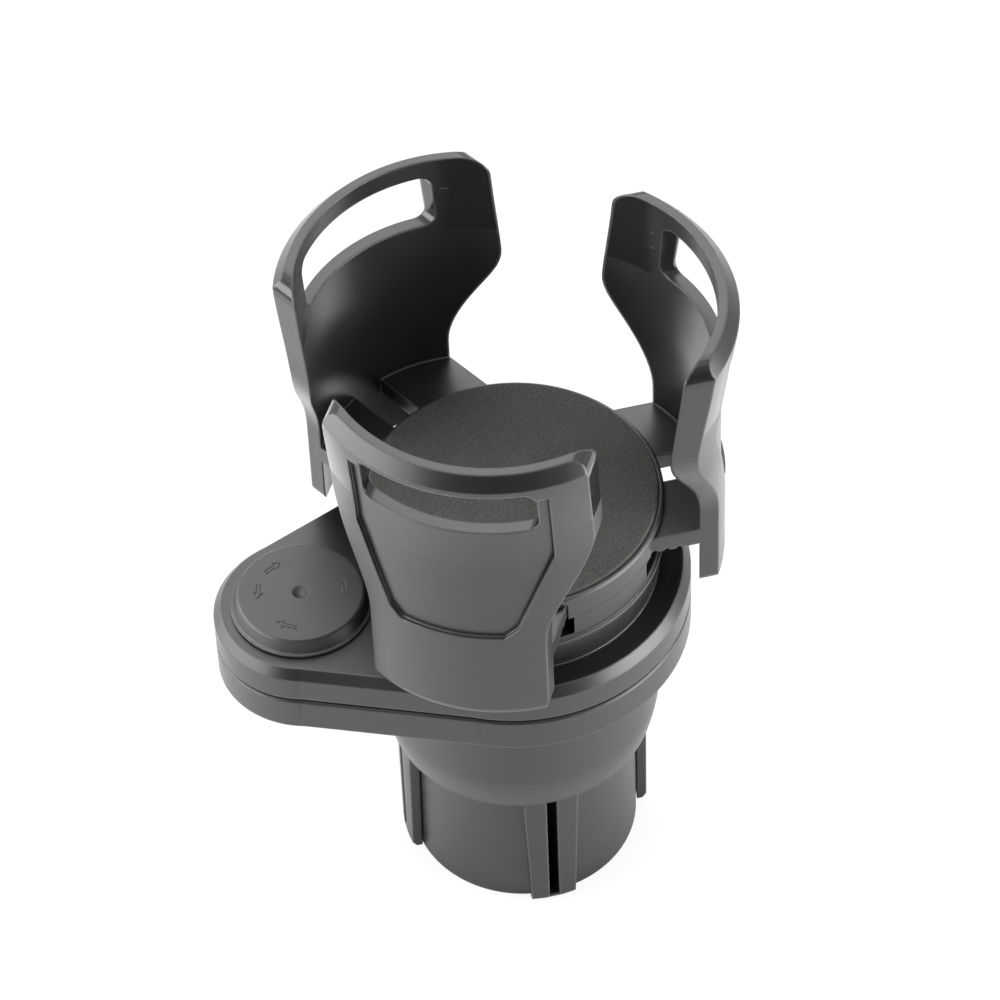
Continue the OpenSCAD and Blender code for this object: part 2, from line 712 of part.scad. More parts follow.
// Two prongs that slide in the seat, hooked at their inner ends
module prongs() {
    tip_x = neck_half_w / sqrt(3) + nest_gap;
    difference() {
        intersection() {
            translate([0, 0, prong_z]) linear_extrude(prong_t) for (s = [0, 1]) mirror([0, s]) {
                polygon([[hook_x, prong_half_gap], [tip_x, neck_half_w], [skirt_r, neck_half_w],
                    [skirt_r, prong_half_gap], [hook_x + hook_l, prong_half_gap],
                    [hook_x + hook_l, hook_half_gap], [hook_x, hook_half_gap]]);
            }
            rod(skirt_r - 1.2, prong_z, prong_z + prong_t);
        }
        // Shallow notches across the underside give the arm its click stops
        for (i = [0:5]) translate([hook_x + hook_l + 4 + 3 * i, 0, prong_z]) rotate([90, 0, 0])
            translate([0, 0, -neck_half_w]) cylinder(r = 0.6, h = 2 * neck_half_w, $fn = 24);
    }
}

module arm() {
    color("#4e4f50") {
        difference() {
            intersection() {
                rotate([0, 0, -75]) rotate_extrude(angle = 150) arm_section();
                rotate([90, 0, 90]) linear_extrude(arm_r + 5) arm_outline();
            }
            rotate([90, 0, 90]) linear_extrude(arm_r + 5) window_shape();
            // Shield recess in the outer face
            intersection() {
                rotate([0, 0, -60]) rotate_extrude(angle = 120) shield_section();
                rotate([90, 0, 90]) linear_extrude(arm_r + 7) shield_shape();
            }
        }
        prongs();
    }
}

module arm_front() { rotate([0, 0, -120]) translate([front_out, 0, 0]) arm(); }
module arm_side() { translate([side_out, 0, 0]) arm(); }
module arm_rear() { rotate([0, 0, 120]) translate([rear_out, 0, 0]) arm(); }

// Pivot and knob

module spring_washer() {
    // Cone washer that presses the knob's hub up
    color("silver") translate([-pivot_x, 0, knob_seat_z]) rotate_extrude()
        polygon([[pivot_bolt_r + 0.6, spring_rise], [knob_seat_r - 1.4, 0], [knob_seat_r - 1, 0],
            [knob_seat_r - 1, spring_t * 0.5], [pivot_bolt_r + 0.9, spring_rise + spring_t],
            [pivot_bolt_r + 0.6, spring_rise + spring_t]]);
}

module lock_knob() {
    skirt_t = 1.8;
    foot_r = knob_r + knob_slope;
    top_z = tray_top_z + knob_h;
    color("#5c5d5e") translate([-pivot_x, 0, 0]) difference() {
        rotate_extrude() polygon([[0, knob_hub_z], [knob_hub_r, knob_hub_z], [knob_hub_r, knob_z + 2.1],
            [foot_r - skirt_t, knob_z + 2.1], [foot_r - skirt_t, knob_z], [knob_flange_r, knob_z],
            [knob_flange_r, knob_z + 0.5], [foot_r, knob_z + 0.6], [knob_r + 0.5, top_z - 0.4],
            [knob_r, top_z], [0, top_z]]);
        rod(insert_r + 0.02, knob_hub_z - 1, knob_hub_z + insert_h);
        // Shallow thumb dimple
        translate([0, 0, top_z + dimple_r * 1.6]) sphere(dimple_r * 1.9);
    }
}

module knob_insert() {
    color("goldenrod") translate([-pivot_x, 0, 0])
        tube(insert_r, pivot_bolt_r + run_gap, knob_hub_z, knob_hub_z + insert_h);
}

foot_shell();
fin_front();
fin_right();
fin_rear();
fin_left();
axle_bolt();
axle_washer();
axle_nut();
lower_body();
cam_disc();
cam_screws();
well_mat();
collar_deck();
deck_screws();
pivot_bolt();
pivot_washer();
tray_plate();
tray_cover();
tray_screws();
seat_case();
seat_ring();
seat_screws();
foam_pad();
spring_washer();
lock_knob();
knob_insert();
arm_front();
arm_side();
arm_rear();
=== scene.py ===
# Car cup holder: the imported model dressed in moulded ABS, foam, rubber, steel and brass.
import bpy, bmesh
from math import radians, sin, cos, pi, atan2
from mathutils import Vector, Matrix, noise


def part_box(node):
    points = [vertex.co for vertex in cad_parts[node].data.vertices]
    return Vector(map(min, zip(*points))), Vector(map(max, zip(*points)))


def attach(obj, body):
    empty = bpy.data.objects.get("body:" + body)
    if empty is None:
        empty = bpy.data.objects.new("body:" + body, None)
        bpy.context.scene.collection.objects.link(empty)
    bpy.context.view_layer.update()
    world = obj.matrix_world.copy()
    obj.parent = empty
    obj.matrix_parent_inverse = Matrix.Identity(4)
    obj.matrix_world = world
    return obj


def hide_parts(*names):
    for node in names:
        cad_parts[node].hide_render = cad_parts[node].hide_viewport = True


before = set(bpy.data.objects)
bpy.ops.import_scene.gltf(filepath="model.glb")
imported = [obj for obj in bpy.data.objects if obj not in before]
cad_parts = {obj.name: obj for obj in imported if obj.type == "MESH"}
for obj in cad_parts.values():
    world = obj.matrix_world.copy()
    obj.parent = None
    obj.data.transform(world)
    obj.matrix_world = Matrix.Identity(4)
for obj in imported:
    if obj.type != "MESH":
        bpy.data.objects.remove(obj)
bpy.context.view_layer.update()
print("frame loaded:", len(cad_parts), "nodes")

mm = 0.001


# camera

# fitted to the round edges of seat, tray, bowl and foot and to the outlines of the three arms
cameraView = {"focalPixels": 4833.6, "imagePixels": 1000, "sensorMm": 36, "distance": 1.1562,
              "elevation": 48.63, "turn": 11.98, "roll": -2.49,
              "target": (-0.00301, 0.0, 0.11983), "clip": (0.05, 20)}


def addCamera(view):
    tilt = radians(view["elevation"])
    roll = radians(view["roll"])
    spin = Matrix.Rotation(radians(-view["turn"]), 3, "Z")
    back = Vector((0, -cos(tilt), sin(tilt)))
    level = Vector((1, 0, 0))
    rise = Vector((0, sin(tilt), cos(tilt)))
    across = cos(roll) * level + sin(roll) * rise
    upright = cos(roll) * rise - sin(roll) * level
    data = bpy.data.cameras.new("camera")
    data.sensor_width = view["sensorMm"]
    data.lens = view["sensorMm"] * view["focalPixels"] / view["imagePixels"]
    data.clip_start, data.clip_end = view["clip"]
    camera = bpy.data.objects.new("camera", data)
    pose = Matrix((spin @ across, spin @ upright, spin @ back)).transposed().to_4x4()
    pose.translation = spin @ (Vector(view["target"]) + view["distance"] * back)
    camera.matrix_world = pose
    bpy.context.scene.collection.objects.link(camera)
    bpy.context.scene.camera = camera


addCamera(cameraView)


# material helpers

noiseSpan = {"From Min": 0.3, "From Max": 0.7}      # most of a noise texture's values lie here
share = {"To Min": 0.0, "To Max": 1.0}
colourA, colourB, colourMix = 6, 7, 2               # the Mix node's colour sockets, by place


def linearColour(hexText):
    # sRGB hex to the linear values that the shaders use
    parts = [int(hexText[i:i + 2], 16) / 255 for i in (1, 3, 5)]
    return tuple([p / 12.92 if p <= 0.04045 else ((p + 0.055) / 1.055) ** 2.4
                  for p in parts] + [1.0])


def addNode(tree, kind, inputs=None, **settings):
    # one node with its settings; an input is a value or another node's output
    node = tree.nodes.new(kind)
    for name, value in settings.items():
        setattr(node, name, value)
    for name, value in (inputs or {}).items():
        if isinstance(value, bpy.types.NodeSocket):
            tree.links.new(value, node.inputs[name])
        else:
            node.inputs[name].default_value = value
    return node


def newMaterial(name):
    material = bpy.data.materials.new(name)
    material.use_nodes = True
    tree = material.node_tree
    tree.nodes.clear()
    output = addNode(tree, "ShaderNodeOutputMaterial")
    place = addNode(tree, "ShaderNodeTexCoord").outputs["Object"]
    return material, tree, output, place


# moulded ABS

# the paler edge colour and its share are a painted highlight along the edges
absLook = {"body": "#19191a", "edgeHighlight": "#55575a", "roughness": 0.36, "ior": 1.5,
           "grainMm": 0.5, "grainDepthMm": 0.018, "grainStrength": 0.5,
           "flowMm": 24, "flowShade": (0.92, 1.08), "flowGloss": (-0.03, 0.04),
           "edgeMm": 0.7, "edgeTurn": (0.995, 0.88), "edgeHighlightShare": 0.8}
footLook = dict(absLook, body="#1b1b1a", roughness=0.40)
bowlLook = dict(absLook, body="#1a1b1a", roughness=0.38)
knobLook = dict(absLook, body="#202122", roughness=0.42)
armLook = dict(absLook, body="#1b1b1d", roughness=0.31, edgeMm=0.8)
armPolish = {"fromMm": 164, "fadeMm": 0.2, "facing": (0.55, 0.65), "roughness": 0.12,
             "grainStrength": 0.04}
armTurns = {"arm_front": -120, "arm_side": 0, "arm_rear": 120}      # degrees round the seat


def mouldedAbs(name, look, polish=None):
    # ABS from a spark-eroded mould: an even satin grain, and edges painted a little paler as a
    # highlight.
    # the real grain is about 0.1 mm and is drawn at half a millimetre so that it shows
    material, tree, output, place = newMaterial(name)
    grain = addNode(tree, "ShaderNodeTexNoise", {
        "Vector": place, "Scale": 1000 / look["grainMm"], "Detail": 2.0, "Roughness": 0.6})
    flow = addNode(tree, "ShaderNodeTexNoise", {
        "Vector": place, "Scale": 1000 / look["flowMm"], "Detail": 3.0})
    edge = addNode(tree, "ShaderNodeBevel", {"Radius": look["edgeMm"] * mm}, samples=6)
    shape = addNode(tree, "ShaderNodeNewGeometry")
    turn = addNode(tree, "ShaderNodeVectorMath", {
        0: edge.outputs["Normal"], 1: shape.outputs["Normal"]}, operation="DOT_PRODUCT")
    flat, sharp = look["edgeTurn"]
    # painted highlight: the colour turns paler where the bevel normal bends away from the face,
    # along every edge
    paintedHighlight = addNode(tree, "ShaderNodeMapRange", {
        "Value": turn.outputs["Value"], "From Min": flat, "From Max": sharp,
        "To Min": 0.0, "To Max": look["edgeHighlightShare"]})
    darker, paler = look["flowShade"]
    shade = addNode(tree, "ShaderNodeMapRange", {
        "Value": flow.outputs["Fac"], **noiseSpan, "To Min": darker, "To Max": paler})
    body = addNode(tree, "ShaderNodeVectorMath", {
        0: linearColour(look["body"])[:3], "Scale": shade.outputs["Result"]},
        operation="SCALE")
    tone = addNode(tree, "ShaderNodeMix", {
        "Factor": paintedHighlight.outputs["Result"], colourA: body.outputs[0],
        colourB: linearColour(look["edgeHighlight"])}, data_type="RGBA")
    glossier, duller = look["flowGloss"]
    sheen = addNode(tree, "ShaderNodeMapRange", {
        "Value": flow.outputs["Fac"], **noiseSpan,
        "To Min": look["roughness"] + glossier, "To Max": look["roughness"] + duller})
    gloss = sheen.outputs["Result"]
    depth = look["grainStrength"]
    if polish:
        # the mould is polished on the upper part of the two side edges
        height = addNode(tree, "ShaderNodeSeparateXYZ", {"Vector": place}).outputs["Z"]
        facing = addNode(tree, "ShaderNodeTexCoord").outputs["Normal"]
        sideways = radians(polish["turn"] + 90)
        across = addNode(tree, "ShaderNodeVectorMath", {
            0: facing, 1: (cos(sideways), sin(sideways), 0)}, operation="DOT_PRODUCT")
        edgeFace = addNode(tree, "ShaderNodeMath", {0: across.outputs["Value"]},
                           operation="ABSOLUTE")
        panel, side = polish["facing"]
        onEdge = addNode(tree, "ShaderNodeMapRange", {
            "Value": edgeFace.outputs[0], "From Min": panel, "From Max": side, **share})
        above = addNode(tree, "ShaderNodeMapRange", {
            "Value": height, "From Min": (polish["fromMm"] - polish["fadeMm"]) * mm,
            "From Max": (polish["fromMm"] + polish["fadeMm"]) * mm, **share})
        bright = addNode(tree, "ShaderNodeMath", {
            0: above.outputs["Result"], 1: onEdge.outputs["Result"]}, operation="MULTIPLY")
        mixed = addNode(tree, "ShaderNodeMix", {
            "Factor": bright.outputs[0], "A": gloss, "B": polish["roughness"]})
        gloss = mixed.outputs[0]
        fade = addNode(tree, "ShaderNodeMath", {
            0: bright.outputs[0], 1: polish["grainStrength"] - depth, 2: depth},
            operation="MULTIPLY_ADD")
        depth = fade.outputs[0]
    bump = addNode(tree, "ShaderNodeBump", {
        "Strength": depth, "Distance": look["grainDepthMm"] * mm,
        "Height": grain.outputs["Fac"], "Normal": edge.outputs["Normal"]})
    shader = addNode(tree, "ShaderNodeBsdfPrincipled", {
        "Roughness": gloss, "IOR": look["ior"], "Normal": bump.outputs["Normal"],
        "Base Color": tone.outputs[colourMix]})
    tree.links.new(shader.outputs["BSDF"], output.inputs["Surface"])
    return material


# EVA foam

foamLook = {"dark": "#1a1918", "light": "#4b4a47", "roughness": 0.95,
            "sheen": 0.1, "sheenRoughness": 0.5, "cellMm": 0.8, "cellDepthMm": 0.09,
            "cellStrength": 0.6, "speckMm": 0.5, "speckSpan": (0.3, 0.75),
            "cloudMm": 9, "cloudShare": 0.3}


def evaFoam(name, look):
    # skived closed-cell EVA: burst cells give a dry speckle.
    # real cells are about 0.2 mm and are drawn at 0.8 mm so that they show
    material, tree, output, place = newMaterial(name)
    cells = addNode(tree, "ShaderNodeTexVoronoi", {
        "Vector": place, "Scale": 1000 / look["cellMm"]}, feature="F1")
    specks = addNode(tree, "ShaderNodeTexNoise", {
        "Vector": place, "Scale": 1000 / look["speckMm"], "Detail": 3.0, "Roughness": 0.75})
    cloud = addNode(tree, "ShaderNodeTexNoise", {
        "Vector": place, "Scale": 1000 / look["cloudMm"], "Detail": 2.0})
    least, most = look["speckSpan"]
    speckShare = addNode(tree, "ShaderNodeMapRange", {
        "Value": specks.outputs["Fac"], "From Min": least, "From Max": most, **share})
    drift = addNode(tree, "ShaderNodeMath", {
        0: cloud.outputs["Fac"], 1: look["cloudShare"], 2: -look["cloudShare"] / 2},
        operation="MULTIPLY_ADD")
    lightShare = addNode(tree, "ShaderNodeMath", {
        0: speckShare.outputs["Result"], 1: drift.outputs[0]}, operation="ADD",
        use_clamp=True)
    tone = addNode(tree, "ShaderNodeMix", {
        "Factor": lightShare.outputs[0], colourA: linearColour(look["dark"]),
        colourB: linearColour(look["light"])}, data_type="RGBA")
    height = addNode(tree, "ShaderNodeMath", {
        0: cells.outputs["Distance"], 1: specks.outputs["Fac"]}, operation="ADD")
    bump = addNode(tree, "ShaderNodeBump", {
        "Strength": look["cellStrength"], "Distance": look["cellDepthMm"] * mm,
        "Height": height.outputs[0]})
    shader = addNode(tree, "ShaderNodeBsdfPrincipled", {
        "Base Color": tone.outputs[colourMix], "Roughness": look["roughness"],
        "Sheen Weight": look["sheen"], "Sheen Roughness": look["sheenRoughness"],
        "Normal": bump.outputs["Normal"]})
    tree.links.new(shader.outputs["BSDF"], output.inputs["Surface"])
    return material


# rubber

rubberLook = {"body": "#232323", "dust": "#3b3a38", "roughness": 0.62, "ior": 1.52,
              "bloomMm": 14, "bloomSpan": (0.45, 0.8), "bloomShare": 0.6,
              "grainMm": 0.6, "grainDepthMm": 0.03, "grainStrength": 0.4}


def mouldedRubber(name, look):
    # moulded rubber: matt black with a faint grey bloom where dust holds
    material, tree, output, place = newMaterial(name)
    bloom = addNode(tree, "ShaderNodeTexNoise", {
        "Vector": place, "Scale": 1000 / look["bloomMm"], "Detail": 5.0, "Roughness": 0.65})
    grain = addNode(tree, "ShaderNodeTexNoise", {
        "Vector": place, "Scale": 1000 / look["grainMm"], "Detail": 1.0})
    least, most = look["bloomSpan"]
    dust = addNode(tree, "ShaderNodeMapRange", {
        "Value": bloom.outputs["Fac"], "From Min": least, "From Max": most,
        "To Min": 0.0, "To Max": look["bloomShare"]})
    tone = addNode(tree, "ShaderNodeMix", {
        "Factor": dust.outputs["Result"], colourA: linearColour(look["body"]),
        colourB: linearColour(look["dust"])}, data_type="RGBA")
    bump = addNode(tree, "ShaderNodeBump", {
        "Strength": look["grainStrength"], "Distance": look["grainDepthMm"] * mm,
        "Height": grain.outputs["Fac"]})
    shader = addNode(tree, "ShaderNodeBsdfPrincipled", {
        "Base Color": tone.outputs[colourMix], "Roughness": look["roughness"],
        "IOR": look["ior"], "Normal": bump.outputs["Normal"]})
    tree.links.new(shader.outputs["BSDF"], output.inputs["Surface"])
    return material


# metals

metalLook = {"glossSpan": (-0.06, 0.1), "lineStrength": 0.3, "lineDepthMm": 0.01}
zincLook = dict(metalLook, bright="#c3c5c8", dull="#9da1a6", roughness=0.3,
                spangleMm=1.6, lineMm=0.25)
springLook = dict(metalLook, bright="#a9a7a4", dull="#6f7074", roughness=0.26,
                  spangleMm=5, lineMm=0.2)
brassLook = dict(metalLook, bright="#cfae6b", dull="#a8843f", roughness=0.28,
                 spangleMm=4, lineMm=0.22)


def turnedMetal(name, look):
    # a small metal part: fine lines from turning or rolling, under a surface that clouds
    # a little. the real lines are 0.05 mm apart and are drawn coarser so that they show
    material, tree, output, place = newMaterial(name)
    cloud = addNode(tree, "ShaderNodeTexNoise", {
        "Vector": place, "Scale": 1000 / look["spangleMm"], "Detail": 3.0})
    bandsPerUnit = 20                                # a wave texture has this many per unit
    lines = addNode(tree, "ShaderNodeTexWave", {
        "Vector": place, "Scale": 1000 / look["lineMm"] / bandsPerUnit,
        "Distortion": 1.5, "Detail": 2.0}, wave_type="BANDS", bands_direction="Z")
    tone = addNode(tree, "ShaderNodeMix", {
        "Factor": cloud.outputs["Fac"], colourA: linearColour(look["bright"]),
        colourB: linearColour(look["dull"])}, data_type="RGBA")
    glossier, duller = look["glossSpan"]
    gloss = addNode(tree, "ShaderNodeMapRange", {
        "Value": cloud.outputs["Fac"], **noiseSpan,
        "To Min": look["roughness"] + glossier, "To Max": look["roughness"] + duller})
    bump = addNode(tree, "ShaderNodeBump", {
        "Strength": look["lineStrength"], "Distance": look["lineDepthMm"] * mm,
        "Height": lines.outputs["Fac"]})
    shader = addNode(tree, "ShaderNodeBsdfPrincipled", {
        "Base Color": tone.outputs[colourMix], "Metallic": 1.0,
        "Roughness": gloss.outputs["Result"], "Normal": bump.outputs["Normal"]})
    tree.links.new(shader.outputs["BSDF"], output.inputs["Surface"])
    return material


# acetal

acetalLook = {"body": "#dedbd0", "shade": "#cfcabb", "roughness": 0.34, "ior": 1.48,
              "flowMm": 9, "flowDepthMm": 0.02, "flowStrength": 0.15,
              "glow": 0.08, "glowDepth": 0.002}


def naturalAcetal(name, look):
    # unpigmented acetal: milky, with a faint flow pattern and a waxy gloss
    material, tree, output, place = newMaterial(name)
    flow = addNode(tree, "ShaderNodeTexNoise", {
        "Vector": place, "Scale": 1000 / look["flowMm"], "Detail": 4.0, "Distortion": 0.8})
    tone = addNode(tree, "ShaderNodeMix", {
        "Factor": flow.outputs["Fac"], colourA: linearColour(look["body"]),
        colourB: linearColour(look["shade"])}, data_type="RGBA")
    bump = addNode(tree, "ShaderNodeBump", {
        "Strength": look["flowStrength"], "Distance": look["flowDepthMm"] * mm,
        "Height": flow.outputs["Fac"]})
    shader = addNode(tree, "ShaderNodeBsdfPrincipled", {
        "Base Color": tone.outputs[colourMix], "Roughness": look["roughness"],
        "IOR": look["ior"], "Subsurface Weight": look["glow"],
        "Subsurface Scale": look["glowDepth"], "Normal": bump.outputs["Normal"]})
    tree.links.new(shader.outputs["BSDF"], output.inputs["Surface"])
    return material


trayAbs = mouldedAbs("trayAbs", absLook)
footAbs = mouldedAbs("footAbs", footLook)
bowlAbs = mouldedAbs("bowlAbs", bowlLook)
knobAbs = mouldedAbs("knobAbs", knobLook)
armAbs = {name: mouldedAbs("armAbs_" + name, armLook, dict(armPolish, turn=turn))
          for name, turn in armTurns.items()}
foamEva = evaFoam("foamEva", foamLook)
matRubber = mouldedRubber("matRubber", rubberLook)
zincSteel = turnedMetal("zincSteel", zincLook)
springSteel = turnedMetal("springSteel", springLook)
turnedBrass = turnedMetal("turnedBrass", brassLook)
acetal = naturalAcetal("acetal", acetalLook)
print("materials made:", len(bpy.data.materials))

nodeFinish = {
    "foot_shell": footAbs, "fin_front": footAbs, "fin_right": footAbs, "fin_rear": footAbs,
    "fin_left": footAbs, "axle_bolt": zincSteel, "axle_washer": zincSteel,
    "axle_nut": zincSteel, "lower_body": bowlAbs, "cam_disc": acetal,
    "cam_screws": zincSteel, "well_mat": matRubber, "collar_deck": trayAbs,
    "deck_screws": zincSteel, "pivot_bolt": zincSteel, "pivot_washer": acetal,
    "tray_plate": trayAbs, "tray_cover": trayAbs, "tray_screws": zincSteel,
    "seat_case": trayAbs, "seat_ring": trayAbs, "seat_screws": zincSteel,
    "foam_pad": foamEva, "spring_washer": springSteel, "lock_knob": knobAbs,
    "knob_insert": turnedBrass, **armAbs}
for nodeName, finish in nodeFinish.items():
    for slot in bpy.data.objects[nodeName].material_slots:
        slot.material = finish
print("finishes set:", len(nodeFinish))


# mesh helpers

def meshPiece(name, work, finish, smooth=True):
    bmesh.ops.recalc_face_normals(work, faces=work.faces)
    mesh = bpy.data.meshes.new(name)
    work.to_mesh(mesh)
    work.free()
    piece = bpy.data.objects.new(name, mesh)
    bpy.context.scene.collection.objects.link(piece)
    mesh.materials.append(finish)
    for face in mesh.polygons:
        face.use_smooth = smooth
    return piece


def turnedSheet(work, profile, segments):
    # a closed form turned round the bowl's axis; the profile runs from the axis below,
    # round the edge and back to the axis above
    rings = []
    for radius, height in profile[1:-1]:
        rings.append([work.verts.new((radius * cos(2 * pi * i / segments),
                                      radius * sin(2 * pi * i / segments), height))
                      for i in range(segments)])
    low = work.verts.new((0, 0, profile[0][1]))
    high = work.verts.new((0, 0, profile[-1][1]))
    for i in range(segments):
        j = (i + 1) % segments
        work.faces.new((low, rings[0][j], rings[0][i]))
        for a, b in zip(rings, rings[1:]):
            work.faces.new((a[i], a[j], b[j], b[i]))
        work.faces.new((high, rings[-1][i], rings[-1][j]))


# fin feet, in mm

finFeet = {"inner": 28.3, "outer": 31.36, "chamfer": 1.0, "low": 0.82, "high": 2.42,
           "halfWidth": 1.6, "rounding": 0.35, "bend": 0.3, "steps": 6,
           "turns": (("fin_front", -90), ("fin_right", 0), ("fin_rear", 90),
                     ("fin_left", 180))}


def addFinFeet(values):
    # the bridge that joins a fin's two cheeks at the foot, with the same lead-in as they have
    inner, outer, low, high = (values[k] for k in ("inner", "outer", "low", "high"))
    rounding, bend, steps = (values[k] for k in ("rounding", "bend", "steps"))
    profile = [(inner, low), (outer - values["chamfer"], low), (outer, high),
               (outer - rounding * bend, high + rounding * (1 - bend)),
               (outer - rounding, high + rounding), (inner, high + rounding)]
    for name, turn in values["turns"]:
        work = bmesh.new()
        rows = []
        for i in range(steps + 1):
            across = values["halfWidth"] * (2 * i / steps - 1)
            angle = atan2(across, outer)
            spin = Matrix.Rotation(radians(turn) + angle, 3, "Z")
            rows.append([work.verts.new(spin @ Vector((r * mm, 0, z * mm)))
                         for r, z in profile])
        for first, second in zip(rows, rows[1:]):
            for i in range(len(profile)):
                j = (i + 1) % len(profile)
                work.faces.new((first[i], first[j], second[j], second[i]))
        work.faces.new(rows[0])
        work.faces.new(list(reversed(rows[-1])))
        piece = meshPiece("bridge_" + name, work, footAbs, smooth=False)
        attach(piece, name)


addFinFeet(finFeet)
print("fin feet made")


# foam pad, in mm

foam = {"radius": 34.85, "thickness": 1.78, "glueGap": 0.02, "lowEdge": (0.3, 0.2),
        "edgeRound": 0.55, "edgeSteps": 6, "crown": 0.22, "rippleMm": 7, "ripple": 0.05,
        "skin": 0.05, "segments": 160, "rings": 46}


def addFoamPad(values):
    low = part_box("foam_pad")[0]
    base = low[2] + values["glueGap"] * mm
    top = base + values["thickness"] * mm
    radius = values["radius"] * mm
    rounding = values["edgeRound"] * mm
    crown = values["crown"] * mm
    inward, upward = values["lowEdge"]
    profile = [(0, base), (radius - inward * mm, base), (radius, base + upward * mm)]
    for i in range(values["edgeSteps"] + 1):
        angle = pi / 2 * i / values["edgeSteps"]
        profile.append((radius - rounding + rounding * cos(angle),
                        top - rounding + rounding * sin(angle)))
    for i in range(values["rings"]):
        outward = 1 - (i + 1) / (values["rings"] + 1)
        profile.append(((radius - rounding) * outward, top + crown * (1 - outward ** 2)))
    profile.append((0, top + crown))
    work = bmesh.new()
    turnedSheet(work, profile, values["segments"])
    scale = 1 / (values["rippleMm"] * mm)
    for vert in work.verts:
        if vert.co.z > top - values["skin"] * mm:
            # the skin lies a little uneven on its glue
            vert.co.z += values["ripple"] * mm * noise.noise(vert.co * scale)
    piece = meshPiece("foamPad", work, foamEva)
    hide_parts("foam_pad")
    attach(piece, "tray")


addFoamPad(foam)
print("foam pad made")


# rubber mat in the bowl, in mm

mat = {"sideGap": 0.05, "floorGap": 0.02, "chamfer": 0.3, "edgeRound": 0.6, "edgeSteps": 4,
       "overBolt": 0.35, "hole": 7.0, "ribPitch": 3.2, "ribHeight": 0.6, "ribSteps": 10,
       "ribPower": 1.5, "ribFrom": 1.4, "middle": 2, "segments": 128}


def addWellMat(values):
    low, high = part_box("well_mat")
    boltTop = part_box("axle_bolt")[1][2]
    outer = (high[0] - low[0]) / 2 - values["sideGap"] * mm
    base = low[2] + values["floorGap"] * mm
    top = high[2] - values["ribHeight"] * mm
    cap = boltTop + values["overBolt"] * mm         # the mat closes over the bolt's head
    hole = values["hole"] * mm
    chamfer = values["chamfer"] * mm
    rounding = values["edgeRound"] * mm
    profile = [(0, cap), (hole - chamfer, cap), (hole, cap - chamfer), (hole, base),
               (outer - chamfer, base), (outer, base + chamfer), (outer, top - rounding)]
    for i in range(1, values["edgeSteps"] + 1):
        angle = pi / 2 * i / values["edgeSteps"]
        profile.append((outer - rounding * (1 - cos(angle)),
                        top - rounding * (1 - sin(angle))))
    pitch = values["ribPitch"] * mm
    steps = values["ribSteps"]
    for i in range(int((outer - values["middle"] * mm) / pitch) * steps):
        radius = outer - values["ribFrom"] * mm - pitch * i / steps
        if radius < values["middle"] * mm:
            break
        wave = 0.5 - 0.5 * cos(2 * pi * i / steps)
        profile.append((radius, top + values["ribHeight"] * mm * wave ** values["ribPower"]))
    profile.append((0, top))
    work = bmesh.new()
    turnedSheet(work, profile, values["segments"])
    piece = meshPiece("ribbedMat", work, matRubber)
    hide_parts("well_mat")
    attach(piece, "bowl")


addWellMat(mat)
print("mat made")


# raised marks, in mm

# the section of a stroke, as shares of its width and height
ridge = ((-0.5, 0), (-0.32, 0.85), (0, 1), (0.32, 0.85), (0.5, 0))


def raisedStroke(work, points, width, height, sink):
    # a low ridge with sloping sides along points; each point is (place, up, side)
    rows = []
    for place, up, side in points:
        rows.append([work.verts.new(place + side * (width * a) + up * (height * b - sink))
                     for a, b in ridge])
    last = len(ridge) - 1
    for first, second in zip(rows, rows[1:]):
        for i in range(last):
            work.faces.new((first[i], first[i + 1], second[i + 1], second[i]))
        work.faces.new((first[last], first[0], second[0], second[last]))
    work.faces.new(rows[0])
    work.faces.new(list(reversed(rows[-1])))


# each arrow: degrees round the face, radius, length, and 1 where it points anticlockwise
knobMarks = {"stroke": 0.4, "height": 0.14, "sink": 0.02, "overrun": 0.1,
             "shaft": 0.45, "head": 1.15, "headFrom": 0.25,
             "arrows": [(118, 10.6, 4.6, 0), (-4, 10.6, 4.0, 1), (238, 10.8, 5.2, 0),
                        (164, 10.4, 4.2, 1)]}


def addKnobMarks(values):
    # plain turn arrows round the knob's face, each an outline
    low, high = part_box("lock_knob")
    centre = Vector(((low[0] + high[0]) / 2, (low[1] + high[1]) / 2, high[2]))
    up = Vector((0, 0, 1))
    shaft, head = values["shaft"], values["head"]
    overrun = values["overrun"] * mm
    work = bmesh.new()
    for angle, radius, length, anticlockwise in values["arrows"]:
        heading = radians(angle + (90 if anticlockwise else -90))
        spot = centre + Matrix.Rotation(radians(angle), 3, "Z") @ Vector((radius * mm, 0, 0))
        along = Matrix.Rotation(heading, 3, "Z") @ Vector((1, 0, 0))
        side = Vector((-along.y, along.x, 0))
        half = length / 2 * mm
        neck = half * values["headFrom"]
        outline = [(-half, shaft), (neck, shaft), (neck, head), (half, 0), (neck, -head),
                   (neck, -shaft), (-half, -shaft), (-half, shaft)]
        spots = [spot + along * a + side * (b * mm) for a, b in outline]
        for a, b in zip(spots, spots[1:]):
            run = (b - a).normalized()
            cross = Vector((-run.y, run.x, 0))
            raisedStroke(work, [(a - run * overrun, up, cross), (b + run * overrun, up, cross)],
                         values["stroke"] * mm, values["height"] * mm, values["sink"] * mm)
    piece = meshPiece("knobArrows", work, knobAbs, smooth=False)
    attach(piece, "knob")


addKnobMarks(knobMarks)

ejectorMarks = {"radius": 2.3, "stroke": 0.5, "height": 0.07, "sink": 0.06,
                "aside": 22.8, "heightUp": 174.5, "segments": 40}


